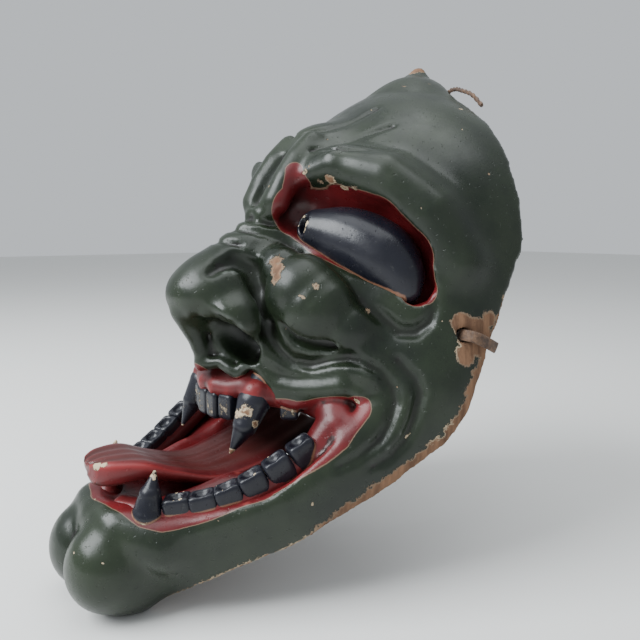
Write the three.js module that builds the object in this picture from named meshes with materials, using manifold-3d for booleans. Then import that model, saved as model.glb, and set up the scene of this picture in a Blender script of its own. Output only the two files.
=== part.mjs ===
// A carved and lacquered demon mask, standing on its chin and leaning back.
// Millimetres, +Z up. x = 0 is the plane of symmetry, the face looks along -Y, and
// +X is the wearer's left.
import * as THREE from 'three';
import * as BufferGeometryUtils from 'three/addons/utils/BufferGeometryUtils.js';
import Module from 'manifold-3d';

const wasm = await Module();
wasm.setup();

// Driving dimensions
const wallThickness = 8.5;      // carved wood, from the lacquered face to the hollow
const gap = 0.6;                // kept between a piece and what it is bedded in
const faceCell = 6.0;           // size of the facets on the face
const hollowCell = 10;          // size of the facets inside
const eyeCell = 5;              // size of the facets on an eyeball
const crownBack = 103.2;        // y of the flat at the back of the crown
const tieHole = { x: 86, y: 50, z: 116, radius: 3.4 };
const tieWidth = 5;
const tieThickness = 1.4;
const cordRadius = 1.2;

// ---------------------------------------------------------------- distance fields
// A field gives the distance in mm from (x, y, z) to a surface, negative inside it.

function ball(centre, radii) {
  const [cx, cy, cz] = centre;
  const [rx, ry, rz] = radii;
  return (x, y, z) => {
    const u = (x - cx) / rx;
    const v = (y - cy) / ry;
    const w = (z - cz) / rz;
    const near = Math.hypot(u, v, w);
    const slope = Math.hypot(u / rx, v / ry, w / rz);
    return slope > 0 ? near * (near - 1) / slope : -Math.min(rx, ry, rz);
  };
}

// A stroke is a row of [x, y, z, radius] joined by tapering round bars.
function stroke(points) {
  return (x, y, z) => {
    let nearest = Infinity;
    for (let i = 1; i < points.length; i += 1) {
      const [ax, ay, az, ar] = points[i - 1];
      const [bx, by, bz, br] = points[i];
      const dx = bx - ax;
      const dy = by - ay;
      const dz = bz - az;
      const along = ((x - ax) * dx + (y - ay) * dy + (z - az) * dz) / (dx * dx + dy * dy + dz * dz);
      const t = Math.min(Math.max(along, 0), 1);
      const far = Math.hypot(x - ax - t * dx, y - ay - t * dy, z - az - t * dz);
      nearest = Math.min(nearest, far - ar - t * (br - ar));
    }
    return nearest;
  };
}

function smoothMin(a, b, blend) {
  if (blend === 0) {
    return Math.min(a, b);
  }
  const h = Math.max(blend - Math.abs(a - b), 0) / blend;
  return Math.min(a, b) - h * h * blend / 4;
}

const add = (blend, shape) => ({ blend, shape, sign: 1 });
const carve = (blend, shape) => ({ blend, shape, sign: -1 });

// Each step adds or carves one shape on both sides of the face.
function sculpt(steps) {
  return (x, y, z) => {
    const side = Math.abs(x);
    let distance = Infinity;
    for (const { blend, shape, sign } of steps) {
      const other = shape(side, y, z);
      distance = sign > 0
        ? smoothMin(distance, other, distance === Infinity ? 0 : blend)
        : -smoothMin(-distance, other, blend);
    }
    return distance;
  };
}


const grown = (points, amount) => points.map(([x, y, z, r]) => [x, y, z, r + amount]);
const moved = (points, dx, dy, dz) => points.map(([x, y, z, r]) => [x + dx, y + dy, z + dz, r]);

// ---------------------------------------------------------------- solids
// Turns a field into a closed net of facets, with one point for each sheet of the
// surface that crosses a cell. The box's own faces close whatever reaches them.
function netted(field, [low, high], cell) {
  const count = low.map((value, axis) => Math.ceil((high[axis] - value) / cell) + 1);
  const steps = [1, count[0], count[0] * count[1]];
  const values = new Float64Array(count[0] * count[1] * count[2]);
  const placeOf = (at) => [at % count[0], Math.floor(at / steps[1]) % count[1], Math.floor(at / steps[2])];
  for (let at = 0; at < values.length; at += 1) {
    const place = placeOf(at);
    const onBox = place.some((step, axis) => step === 0 || step === count[axis] - 1);
    values[at] = onBox ? cell : field(...place.map((step, axis) => low[axis] + step * cell));
  }
  const sheetsOf = new Map();
  const points = [];
  for (let at = 0; at + steps[2] + steps[1] + 1 < values.length; at += 1) {
    const place = placeOf(at);
    if (place.every((step, axis) => step + 1 < count[axis])) {
      const crossings = cellCrossings(values, at, steps);
      const sheets = crossings.length > 0 ? sheetsIn(values, at, steps, crossings) : [];
      for (const sheet of sheets) {
        const members = crossings.filter(({ edge }) => sheet.has(edge));
        members.forEach(({ edge }) => sheetsOf.set(at * 12 + edge, points.length / 3));
        points.push(...low.map((value, axis) => value + cell * (place[axis]
          + members.reduce((sum, { offset }) => sum + offset[axis], 0) / members.length)));
      }
    }
  }
  const triangles = [];
  for (let here = 0; here < values.length; here += 1) {
    for (let axis = 0; axis < 3; axis += 1) {
      const next = here + steps[axis];
      if (next < values.length && (values[here] < 0) !== (values[next] < 0)) {
        const side = steps[(axis + 1) % 3];
        const up = steps[(axis + 2) % 3];
        const ring = [[0, 0], [1, 0], [1, 1], [0, 1]].map(([atSide, atUp]) => (
          sheetsOf.get((here - atSide * side - atUp * up) * 12 + edgeNumber(axis, atSide, atUp))));
        const [a, b, c, d] = values[here] < 0 ? ring : ring.reverse();
        triangles.push(a, b, c, a, c, d);
      }
    }
  }
  return solidOf(points, triangles);
}

// A cell's twelve edges: four along each axis, by their place on the next two axes.
const edgeNumber = (axis, atSide, atUp) => axis * 4 + atSide + 2 * atUp;

function cellCrossings(values, corner, steps) {
  const crossings = [];
  for (let axis = 0; axis < 3; axis += 1) {
    const side = (axis + 1) % 3;
    const up = (axis + 2) % 3;
    for (const [atSide, atUp] of [[0, 0], [1, 0], [0, 1], [1, 1]]) {
      const start = corner + atSide * steps[side] + atUp * steps[up];
      const first = values[start];
      const second = values[start + steps[axis]];
      if ((first < 0) !== (second < 0)) {
        const offset = [0, 0, 0];
        offset[axis] = first / (first - second);
        offset[side] = atSide;
        offset[up] = atUp;
        crossings.push({ edge: edgeNumber(axis, atSide, atUp), offset });
      }
    }
  }
  return crossings;
}

// Groups a cell's crossed edges into sheets. Edges join where they share a side of the
// cell; on a side with four crossings, they join round each corner inside the surface.
function sheetsIn(values, corner, steps, crossings) {
  const crossed = new Set(crossings.map(({ edge }) => edge));
  let sheets = crossings.map(({ edge }) => new Set([edge]));
  const join = (first, second) => {
    const a = sheets.find((sheet) => sheet.has(first));
    const b = sheets.find((sheet) => sheet.has(second));
    if (a !== b) {
      b.forEach((edge) => a.add(edge));
      sheets = sheets.filter((sheet) => sheet !== b);
    }
  };
  for (let normal = 0; normal < 3; normal += 1) {
    const first = (normal + 1) % 3;
    const second = (normal + 2) % 3;
    for (const level of [0, 1]) {
      const alongFirst = [0, 1].map((at) => edgeNumber(first, at, level));
      const alongSecond = [0, 1].map((at) => edgeNumber(second, level, at));
      const onSide = [...alongFirst, ...alongSecond].filter((edge) => crossed.has(edge));
      if (onSide.length === 2) {
        join(onSide[0], onSide[1]);
      } else if (onSide.length === 4) {
        for (const [u, v] of [[0, 0], [1, 0], [0, 1], [1, 1]]) {
          if (values[corner + level * steps[normal] + u * steps[first] + v * steps[second]] < 0) {
            join(alongFirst[v], alongSecond[u]);
          }
        }
      }
    }
  }
  return sheets;
}

function solidOf(points, triangles) {
  return new wasm.Manifold(new wasm.Mesh({
    numProp: 3,
    vertProperties: Float32Array.from(points),
    triVerts: Uint32Array.from(triangles),
  }));
}

function solid(geometry) {
  const bare = geometry.clone();
  bare.deleteAttribute('normal');
  bare.deleteAttribute('uv');
  const merged = BufferGeometryUtils.mergeVertices(bare, 1e-4);
  return solidOf(merged.attributes.position.array, merged.index.array);
}

function slab([x, y, z], [width, depth, height]) {
  return new THREE.BoxGeometry(width, depth, height).translate(x, y, z);
}

// An outline of [y, z] points, extruded along X and centred on x = 0.
function extrudedAlongX(outline, width) {
  const shape = new THREE.Shape(outline.map(([y, z]) => new THREE.Vector2(y, z)));
  const geometry = new THREE.ExtrudeGeometry(shape, { depth: width, bevelEnabled: false });
  // the outline's x and y become Y and Z, and its depth becomes X
  geometry.applyMatrix4(new THREE.Matrix4().makeBasis(
    new THREE.Vector3(0, 1, 0), new THREE.Vector3(0, 0, 1), new THREE.Vector3(1, 0, 0)));
  return geometry.translate(-width / 2, 0, 0);
}

// Round bars through a row of [x, y, z, radius], as one tapering tube with flat ends.
const hornSides = 8;

function horn(points) {
  const centres = points.map(([x, y, z]) => new THREE.Vector3(x, y, z));
  const rings = centres.map((centre, i) => {
    const ahead = centres[Math.min(i + 1, centres.length - 1)];
    const behind = centres[Math.max(i - 1, 0)];
    const along = ahead.clone().sub(behind).normalize();
    const side = new THREE.Vector3(0, 0, 1).cross(along);
    if (side.length() < 0.3) {
      side.set(1, 0, 0);
    }
    side.addScaledVector(along, -side.dot(along)).normalize();
    const up = along.clone().cross(side);
    return Array.from({ length: hornSides }, (_, step) => {
      const angle = 2 * Math.PI * step / hornSides;
      return centre.clone().addScaledVector(side, points[i][3] * Math.cos(angle))
        .addScaledVector(up, points[i][3] * Math.sin(angle));
    });
  });
  return loft(rings);
}

// A closed skin over rings of points, with a fan over each end.
function loft(rings) {
  const sides = rings[0].length;
  const total = (ring) => ring.reduce((sum, point) => sum.add(point), new THREE.Vector3());
  const middle = (ring) => total(ring).divideScalar(sides);
  const points = [...rings.flat(), middle(rings[0]), middle(rings[rings.length - 1])];
  const firstMiddle = points.length - 2;
  const lastMiddle = points.length - 1;
  const lastRing = (rings.length - 1) * sides;
  const triangles = [];
  for (let step = 0; step < sides; step += 1) {
    const next = (step + 1) % sides;
    triangles.push(firstMiddle, next, step, lastMiddle, lastRing + step, lastRing + next);
    for (let row = 0; row + 1 < rings.length; row += 1) {
      const here = row * sides;
      const there = here + sides;
      triangles.push(here + step, here + next, there + next, here + step, there + next, there + step);
    }
  }
  const geometry = new THREE.BufferGeometry();
  geometry.setAttribute('position', new THREE.Float32BufferAttribute(
    points.flatMap((point) => point.toArray()), 3));
  geometry.setIndex(triangles);
  return geometry;
}

// Booleans can leave crumbs behind; the piece itself is the largest body.
function largest(body) {
  return body.decompose().reduce((best, other) => (other.volume() > best.volume() ? other : best));
}

function mirrored(body) {
  const { vertProperties, triVerts, numProp } = body.getMesh();
  const points = Array.from(vertProperties, (value, i) => (i % numProp === 0 ? -value : value));
  const triangles = Array.from(triVerts, (_, i) => triVerts[i - (i % 3) + 2 - (i % 3)]);
  return solidOf(points, triangles);
}

function geometryOf(body) {
  const { vertProperties, triVerts } = body.getMesh();
  const geometry = new THREE.BufferGeometry();
  geometry.setAttribute('position', new THREE.Float32BufferAttribute(vertProperties, 3));
  geometry.setIndex(Array.from(triVerts));
  geometry.computeVertexNormals();
  return geometry;
}

// ---------------------------------------------------------------- the face
// Rows of [x, y, z, radius] on the wearer's left; the right side mirrors them.
const jawLine = [[62, 46, 86, 25], [57, 16, 67, 20], [46, -20, 49, 17], [29, -54, 34, 14], [12, -76, 30, 14]];
const browLine = [[15, 21, 190, 8], [30, 24, 190, 10], [50, 34, 184, 11], [67, 45, 168, 11], [77, 54, 148, 9]];
const eyeLine = [[19, 8, 171, 10], [34, 15, 168, 13], [49, 24, 158, 14], [60, 32, 145, 11], [66, 37, 134, 7]];
const lowerLid = [
  [15, 6, 160, 3], [30, 15, 154.5, 3.5], [43, 20.5, 144, 3.5], [54, 26, 131, 3.5], [64, 33, 124, 3],
  [73, 41, 128, 3],
];
const lipSkirt = [
  [0, -20, 107, 11], [14, -14, 107, 11], [28, -3, 104, 12], [44, 8, 101, 12], [58, 18, 100, 12],
];
const nostril = [
  [17, -44, 122, 3], [21, -40, 119, 5], [24, -34, 114, 5.5], [24, -27, 109, 5.5], [21, -19, 105, 4],
];
const upperLip = [
  [0, -34, 99, 3.5], [9, -28.5, 101, 3], [17, -24, 96.5, 3.2], [22.5, -19, 101.5, 3], [28, -12.5, 92, 3.2],
  [32, -10, 88.5, 3.5], [38, -4.5, 87.5, 3.5], [45, 0.5, 90.5, 3.5], [52, 5, 93.5, 3.5], [62, 10, 91.5, 3.5],
];
const lowerLip = [
  [67, 13, 84, 3], [66, 5, 75, 3.5], [62, -3, 63, 4], [57, -18, 52, 4], [48, -38, 45, 4], [38, -56, 39.5, 4],
  [28, -73, 38, 4], [14, -83, 42, 4], [0, -85, 43, 4],
];
const upperGumLine = [[48, 8, 80, 4], [38, -2, 81, 5.5], [28, -12, 83, 6], [20, -19, 85, 6], [10, -23, 86, 6]];
const lowerGumLine = [
  [54, 4, 72, 4], [51, -11, 63, 5.2], [48, -23, 56, 5.8], [44, -34, 50.4, 5.8], [39, -45, 46.4, 5.8],
  [34, -54, 44.3, 5.8], [27, -63, 43.3, 5.8], [20, -71, 43.3, 5.8], [10, -76, 43.3, 5.8],
];

const faceField = sculpt([
  add(0, ball([0, 95, 148], [92, 82, 84])),
  add(16, ball([0, 64, 108], [88, 62, 72])),
  add(34, stroke([[0, 90, 192, 38], [0, 98, 226, 14], [0, 103, 246, 2.5]])),
  // jaw, carried on below the rim so that the wall meets the rim squarely
  add(18, stroke(jawLine)),
  add(10, stroke(moved(jawLine, 0, 7, -14))),
  add(14, ball([0, -30, 40], [34, 52, 16])),
  // brow, root of the nose and the fold between the brows
  add(12, stroke(browLine)),
  add(16, stroke([[0, 12, 172, 15], [0, 32, 198, 14]])),
  // nose
  add(12, stroke([[0, 10, 163, 14], [0, -3, 151, 16], [0, -12, 144, 17], [0, -23, 136, 17]])),
  add(6, ball([0, -24, 132], [23, 25, 18])),
  add(4, ball([17.5, -25, 121], [14, 16, 14])),
  // cheek, and the skirt of the upper lip
  add(8, stroke([[24, -4, 143, 11], [33, 1, 133, 18], [38, 5, 126, 20], [50, 12, 118, 13]])),
  add(6, stroke(lipSkirt)),
  // the open mouth
  carve(6, stroke([[0, -80, 84, 36], [0, -24, 66, 22], [0, 20, 70, 20]])),
  carve(4, stroke([[20, -22, 70, 18], [36, -18, 70, 13], [50, 0, 74, 12], [54, 6, 76, 10]])),
  carve(5, stroke([[30, -70, 62, 16], [44, -32, 62, 14], [50, -4, 72, 12]])),
  carve(4, ball([0, -44, 58], [23, 52, 17])),
  add(3, stroke([[60, 3, 82, 5.5], [59, -2, 73, 5], [56, -10, 64, 4]])),
  // lips
  add(4, stroke(upperLip)),
  add(6, stroke(lowerLip)),
  carve(2, stroke(grown(lowerGumLine, -2))),
  carve(2, stroke(grown(upperGumLine, -2))),
  // chin
  add(6, stroke([[30, -68, 31, 9], [17, -81, 37, 8.5], [0, -85, 36, 8]])),
  add(3, ball([12, -84, 21], [19, 19.3, 20.5])),
  add(4, ball([13, -75, 18.5], [18, 18, 20.5])),
  // eye sockets and lower lids
  carve(3, stroke(eyeLine)),
  carve(3, stroke([[16, 8, 188, 3], [18, 8, 180, 5.5], [20, 9, 170, 8.5]])),
  add(3, stroke(lowerLid)),
  // rolls between the brows, nostrils and the recess over the wing of the nose
  add(4, stroke([[10, 22, 203, 5], [10, 14, 194, 6], [10, 7, 184, 6.5], [10, 2, 174.5, 6.5]])),
  carve(3, stroke(nostril)),
  carve(3, stroke([[12, -40, 119, 4], [13, -33, 117, 7], [15, -26, 114, 8], [17, -16, 108, 7]])),
  add(3, stroke([[0, -43, 124, 5], [0, -36, 112, 4.5], [0, -33, 103, 4]])),
  carve(2.5, stroke([[14, -30, 146, 3], [15, -23, 148, 4.5], [18, -18, 145, 5], [22, -16, 136, 4]])),
]);

// The rim, seen from the side as [y, z], from the crown down to the chin.
const rim = [
  [crownBack, 262], [crownBack, 238], [99, 231], [93, 216], [85.2, 188], [81.2, 152], [67, 117.5], [51, 85],
  [41.5, 70], [20.5, 55], [5, 46], [-25, 29], [-56, 14], [-69.5, 0], [-76, -20],
];

// The hollow follows the face one wall thickness in, and keeps clear of the chin.
const hollowFront = -52;
const mouthWay = ball([0, 26, 76], [34, 40, 15]);
const hollowField = (x, y, z) => Math.max(faceField(x, y, z) + wallThickness, hollowFront - y);

const faceWidth = 18 * faceCell;
const hollowWidth = 10 * hollowCell;
const faceBox = [[-faceWidth, -112, -8], [faceWidth, 122, 258]];
const hollowBox = [[-hollowWidth, -64, -8], [hollowWidth, 122, 258]];
const wayBox = [[-9 * faceCell, -30, 50], [9 * faceCell, 80, 100]];
const cutaways = [
  extrudedAlongX([...rim, [200, -20], [200, 262]], 240),
  slab([0, 0, -20], [400, 500, 40]),
  tieBore(1),
  tieBore(-1),
].map(solid);

function tieBore(side) {
  const bore = new THREE.CylinderGeometry(tieHole.radius, tieHole.radius, 30, 12).rotateZ(Math.PI / 2);
  return bore.translate(side * tieHole.x, tieHole.y, tieHole.z);
}

// The carved shell, or with grow the same shell thickened, as a cutter for what is bedded in it.
function carvedShell(grow) {
  const front = netted((x, y, z) => faceField(x, y, z) - grow, faceBox, faceCell);
  const hollow = largest(netted((x, y, z) => hollowField(x, y, z) + grow, hollowBox, hollowCell));
  const way = netted((x, y, z) => mouthWay(x, y, z) + grow, wayBox, faceCell);
  return front.subtract(hollow).subtract(way);
}

const shell = largest(cutaways.reduce((body, cutter) => body.subtract(cutter), carvedShell(0)));
const bed = carvedShell(gap);

// ---------------------------------------------------------------- eyes
const eyeballLine = [
  [23, 17, 161.5, 9.3], [36, 26, 157.5, 14], [49, 32.5, 150.5, 15], [58, 34.5, 142.5, 11.5],
  [62, 35, 136, 7.5],
];
const sightHole = [[20.5, 4, 162, 2.3], [25, 45, 162, 2.3]];
const eyeBox = [[10, 0, 116], [86, 60, 184]];
const eyeball = netted(stroke(eyeballLine), eyeBox, eyeCell);
const piercedEye = eyeball.subtract(solid(horn(sightHole)));

// ---------------------------------------------------------------- gums, teeth and tongue
const acrossTheFace = (line) => [...line, ...line.map(([x, y, z, r]) => [-x, y, z, r]).reverse()];

// A tooth with a rounded block for a crown: a sphere drawn out towards its box.
const squareness = 0.55;

function drawnOut(value, size) {
  const nearlyZero = Math.abs(value) < 1e-6;
  return nearlyZero ? 0 : Math.sign(value) * Math.abs(value) ** squareness * size;
}

function block([x, y, z], [width, depth, height], turn, tilt, grow = 0) {
  const geometry = new THREE.SphereGeometry(1, 10, 8).rotateX(Math.PI / 2);
  const place = geometry.attributes.position;
  const half = [width, depth, height].map((size) => size / 2 + grow);
  for (let i = 0; i < place.count; i += 1) {
    const corner = [place.getX(i), place.getY(i), place.getZ(i)];
    place.setXYZ(i, ...corner.map((value, axis) => drawnOut(value, half[axis])));
  }
  return geometry.rotateX(tilt).rotateZ(turn).translate(x, y, z);
}

const upperFang = [[23, -15, 92, 6.5], [25, -20.5, 84.5, 7.6], [26.5, -26, 75, 5.6], [25.5, -33, 63.5, 0.8]];
const lowerFang = [[22.5, -71, 36, 7], [24, -71, 44, 7], [24.5, -70, 53, 4.6], [24, -67.5, 62, 0.8]];
const incisors = [
  { at: [4.5, -28.5, 79], size: [8.2, 6.5, 14], turn: 0 },
  { at: [13, -26.5, 79.5], size: [7.6, 6.5, 13], turn: 0.25 },
];
const premolar = { at: [34.5, -8.5, 79.5], size: [8, 8, 12], turn: 0.8 };
const molars = [
  [30, -60, 48.5], [36.2, -51.2, 50], [41.2, -41.8, 53], [45.4, -32.3, 58], [49, -22.5, 64], [51.6, -12, 70],
];
const molarSize = [8.5, 10.4, 12.5];

const upperGum = largest(solid(horn(acrossTheFace(upperGumLine))).subtract(bed));
const lowerGum = largest(solid(horn(acrossTheFace(lowerGumLine))).subtract(bed));
const upperBed = solid(horn(acrossTheFace(grown(upperGumLine, gap)))).add(bed);
const lowerBed = solid(horn(acrossTheFace(grown(lowerGumLine, gap)))).add(bed);

const molarSeats = molars.map((at, i) => {
  const next = molars[Math.min(i + 1, molars.length - 1)];
  const last = molars[Math.max(i - 1, 0)];
  const turn = Math.atan2(last[0] - next[0], next[1] - last[1]);
  const tilt = Math.atan2(next[2] - last[2], Math.hypot(next[0] - last[0], next[1] - last[1]));
  return { at, size: molarSize, turn, tilt };
});
const toothBlock = ({ at, size, turn, tilt = 0 }, grow = 0) => block(at, size, turn, tilt, grow);

// The tongue, as [y, z of the top, half width, thickness] from root to tip.
const tongueStations = [
  [18, 70, 22, 11], [4, 66, 23, 12], [-14, 60, 23, 12], [-36, 55, 21, 12], [-54, 60, 17.5, 13],
  [-68, 67, 17, 16], [-80, 71, 14, 19], [-86, 69, 9, 15], [-88, 66, 4, 8],
];
const tongueSides = 12;

function tongueGeometry() {
  const rings = tongueStations.map(([y, top, halfWidth, thickness]) => {
    const ring = [];
    for (let i = 0; i < tongueSides; i += 1) {
      const angle = 2 * Math.PI * i / tongueSides;
      const across = Math.cos(angle) * halfWidth;
      const groove = Math.max(Math.sin(angle), 0) * 0.25 * thickness;
      const height = top - thickness / 2 + Math.sin(angle) * thickness / 2 - groove;
      ring.push(new THREE.Vector3(across, y, height));
    }
    return ring;
  });
  return loft(rings);
}

const toothCutters = [
  horn(grown(lowerFang, gap)),
  ...molarSeats.map((seat) => toothBlock(seat, gap)),
].map(solid);
const bothSides = [...toothCutters, ...toothCutters.map(mirrored)];
const tongueBed = bothSides.reduce((body, cutter) => body.add(cutter), lowerBed);
const tongue = largest(solid(tongueGeometry()).subtract(tongueBed));

// ---------------------------------------------------------------- ties and the hanging cord
const tieRoute = [[78.5, 63, 111.5], [78.5, 57, 113.5], [80, 51.5, 115.5], [84, 50, 116], [89.3, 51.5, 115.5],
  [91.4, 57, 112.8], [91.3, 63, 110]];
const cordRoute = [[10, 82, 206], [13, 95, 216], [18, 101.4, 226], [23, 101.9, 233.2], [28, 101.9, 234.2],
  [33, 101.6, 232.6], [40, 101.2, 229.4], [47, 100.8, 223]];

function alongRoute(route, section, steps) {
  const path = new THREE.CatmullRomCurve3(route.map((point) => new THREE.Vector3(...point)));
  return new THREE.ExtrudeGeometry(section, { steps, extrudePath: path, bevelEnabled: false });
}

function round(radius, sides) {
  const corners = Array.from({ length: sides }, (_, i) => {
    const angle = 2 * Math.PI * i / sides;
    return new THREE.Vector2(radius * Math.cos(angle), radius * Math.sin(angle));
  });
  return new THREE.Shape(corners);
}

function flat(width, height) {
  const corners = [[-1, -1], [1, -1], [1, 1], [-1, 1]];
  return new THREE.Shape(corners.map(([u, v]) => new THREE.Vector2(u * width / 2, v * height / 2)));
}

const sideTie = solid(alongRoute(tieRoute, flat(tieWidth, tieThickness), 18));
const hangingCord = solid(alongRoute(cordRoute, round(cordRadius, 8), 16));

// ---------------------------------------------------------------- the assembly
const lacquer = { color: '#2b3029', roughness: 0.35 };
const red = { color: '#8c2a24', roughness: 0.4 };
const black = { color: '#23242c', roughness: 0.3 };
const leather = { color: '#6b4a30', roughness: 0.8 };
const mask = new THREE.Group();

function addPiece(name, body, finish) {
  const piece = new THREE.Mesh(geometryOf(body), new THREE.MeshStandardMaterial({ ...finish, metalness: 0 }));
  piece.name = name;
  mask.add(piece);
}

// One piece on each side, each cut clear of what it is bedded in.
function addPair(name, body, bedding, finish) {
  addPiece(`${name}_left`, largest(body.subtract(bedding)), finish);
  addPiece(`${name}_right`, largest(mirrored(body).subtract(bedding)), finish);
}

addPiece('mask_shell', shell, lacquer);
addPiece('upper_gum', upperGum, red);
addPiece('lower_gum', lowerGum, red);
addPiece('tongue', tongue, red);
addPair('eye', piercedEye, bed, black);
addPair('upper_fang', solid(horn(upperFang)), upperBed, black);
addPair('lower_fang', solid(horn(lowerFang)), lowerBed, black);
addPair('upper_premolar', solid(toothBlock(premolar)), upperBed, black);
incisors.forEach((tooth, i) => addPair(`upper_incisor_${i + 1}`, solid(toothBlock(tooth)), upperBed, black));
molarSeats.forEach((seat, i) => addPair(`lower_molar_${i + 1}`, solid(toothBlock(seat)), lowerBed, black));
addPair('side_tie', sideTie, bed, leather);
addPiece('hanging_cord', hangingCord, leather);

export default mask;
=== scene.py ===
"""A carved and lacquered demon mask, standing on its chin and leaning back.

The face is sculpted as one distance field, in millimetres in the frame of the CAD model:
x = 0 is the plane of symmetry, the face looks along -Y and +X is the wearer's left.
"""

import math

import bpy
import numpy as np
from mathutils import Matrix, Vector


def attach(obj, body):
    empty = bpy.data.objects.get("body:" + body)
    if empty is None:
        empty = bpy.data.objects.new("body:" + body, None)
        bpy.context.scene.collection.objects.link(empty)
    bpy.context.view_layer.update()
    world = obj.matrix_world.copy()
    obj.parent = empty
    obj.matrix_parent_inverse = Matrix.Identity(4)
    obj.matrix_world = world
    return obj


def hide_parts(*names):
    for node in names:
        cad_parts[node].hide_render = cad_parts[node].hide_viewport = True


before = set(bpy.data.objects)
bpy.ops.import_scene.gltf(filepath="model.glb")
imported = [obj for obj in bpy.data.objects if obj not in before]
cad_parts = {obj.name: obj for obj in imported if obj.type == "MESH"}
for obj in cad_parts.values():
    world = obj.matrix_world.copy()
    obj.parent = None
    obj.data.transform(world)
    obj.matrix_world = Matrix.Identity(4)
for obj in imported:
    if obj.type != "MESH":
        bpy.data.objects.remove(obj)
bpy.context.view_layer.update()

MM = 0.001


# ---------------------------------------------------------------- camera
def make_camera():
    """The photograph's view: from the wearer's left, a little above the middle of the mask."""
    eye_point = Vector((0.2689, -0.161, 0.161))
    azimuth = math.radians(54)
    pitch = math.radians(8)
    level = math.cos(pitch)
    towards = Vector((-math.sin(azimuth) * level, math.cos(azimuth) * level, -math.sin(pitch)))
    data = bpy.data.cameras.new("camera")
    data.lens = 36
    data.sensor_width = 36
    data.clip_start = 0.01
    camera = bpy.data.objects.new("camera", data)
    camera.location = eye_point
    camera.rotation_euler = towards.to_track_quat("-Z", "Y").to_euler()
    bpy.context.scene.collection.objects.link(camera)
    bpy.context.scene.camera = camera


make_camera()


# ---------------------------------------------------------------- distance fields
# A shape is (function of points, lowest corner, highest corner). The function gives the
# distance in mm from each point to the shape's surface, negative inside it.
def ball(centre, radii):
    centre = np.array(centre, np.float32)
    radii = np.array(radii, np.float32)

    def distance(points):
        scaled = (points - centre) / radii
        near = np.linalg.norm(scaled, axis=1)
        slope = np.linalg.norm(scaled / radii, axis=1)
        return near * (near - 1) / np.maximum(slope, 1e-6)

    return distance, centre - radii, centre + radii


def stroke(line):
    """A row of (x, y, z, radius) joined by tapering round bars."""
    line = np.array(line, np.float32)

    def distance(points):
        nearest = np.full(len(points), np.inf, np.float32)
        for (*start, start_radius), (*end, end_radius) in zip(line[:-1], line[1:]):
            run = np.array(end) - start
            offset = points - start
            t = np.clip(offset @ run / (run @ run), 0, 1)
            far = np.linalg.norm(offset - t[:, None] * run, axis=1)
            nearest = np.minimum(nearest, far - start_radius - t * (end_radius - start_radius))
        return nearest

    return distance, (line[:, :3] - line[:, 3:]).min(0), (line[:, :3] + line[:, 3:]).max(0)


def smooth_min(a, b, blend):
    if blend == 0:
        return np.minimum(a, b)
    h = np.maximum(blend - np.abs(a - b), 0) / blend
    return np.minimum(a, b) - h * h * (blend / 4)


def smooth_max(a, b, blend):
    return -smooth_min(-a, -b, blend)


def mirrored(points):
    """The points brought to the wearer's left, where the shapes are given."""
    return np.abs(points) * np.array([1, 0, 0], np.float32) + points * np.array([0, 1, 1], np.float32)


def add(blend, shape):
    return blend, shape, 1


def carve(blend, shape):
    return blend, shape, -1


REACH = 14  # mm: how far from a shape its effect is followed


def sculpt(steps, points):
    """The field that the steps make, each added or carved on both sides of the face."""
    points = mirrored(points).astype(np.float32)
    field = np.full(len(points), 1e3, np.float32)
    for number, (blend, (distance, low, high), sign) in enumerate(steps):
        margin = REACH + blend
        if number < len(MASSES):
            near = slice(None)
        else:
            near = np.nonzero(((points > low - margin) & (points < high + margin)).all(1))[0]
            if len(near) == 0:
                continue
        other = distance(points[near])
        if sign > 0:
            field[near] = smooth_min(field[near], other, blend)
        else:
            field[near] = -smooth_min(-field[near], other, blend)
    return field


def moved(line, dx, dy, dz):
    return [(x + dx, y + dy, z + dz, r) for x, y, z, r in line]


# ---------------------------------------------------------------- the face
# Rows of (x, y, z, radius) on the wearer's left; the right side mirrors them.
JAW = [(62, 46, 86, 25), (57, 16, 67, 20), (46, -20, 49, 17), (29, -54, 34, 14), (12, -76, 30, 14)]
BROW = [(15, 21, 190, 8), (30, 24, 190, 10), (50, 34, 184, 11), (67, 45, 168, 11), (77, 54, 148, 9)]
EYE_SOCKET = [
    (19, 8, 170, 11), (34, 14, 165.5, 15.5), (49, 25, 158.5, 17), (61, 34, 148.5, 14),
    (67, 38.5, 135, 8.5),
]
LOWER_LID = [
    (15, 6, 156, 3), (31, 13.5, 148.5, 3.5), (43.5, 19.5, 140, 3.5), (54.5, 25.5, 129.5, 3.5),
    (64, 33, 124, 3), (73, 41, 128, 3), (77, 46, 138, 2.5),
]
UPPER_LIP = [
    (0, -34, 99, 3.5), (5, -31.5, 100, 3), (9, -28.5, 101, 3), (14, -26.5, 98.5, 3), (17, -24, 96.5, 3),
    (20, -21, 101, 3), (22.5, -19, 101.5, 3), (25, -15.5, 98, 3), (28, -13, 91, 3.2),
    (32, -11.5, 86.5, 3.8), (38, -6.5, 85, 4), (45, -1, 88, 4), (52, 4.5, 92, 4), (57, 7.5, 94, 3.5),
    (62, 10, 91.5, 3.5),
]
LOWER_LIP = [
    (67, 13, 84, 3), (66, 5, 75, 3.5), (62, -3, 63, 4), (57, -18, 52, 4), (48, -38, 45, 4),
    (38, -56, 39.5, 4), (28, -73, 38, 4), (14, -83, 42, 4), (0, -85, 43, 4),
]
LOWER_GUM = stroke([
    (54, 4, 72, 4), (51, -11, 63, 5.2), (48, -23, 56, 5.8), (44, -34, 50.4, 5.8), (39, -45, 46.4, 5.8),
    (34, -54, 44.3, 5.8), (27, -63, 43.3, 5.8), (20, -71, 43.3, 5.8), (10, -76, 43.3, 5.8),
])

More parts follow.
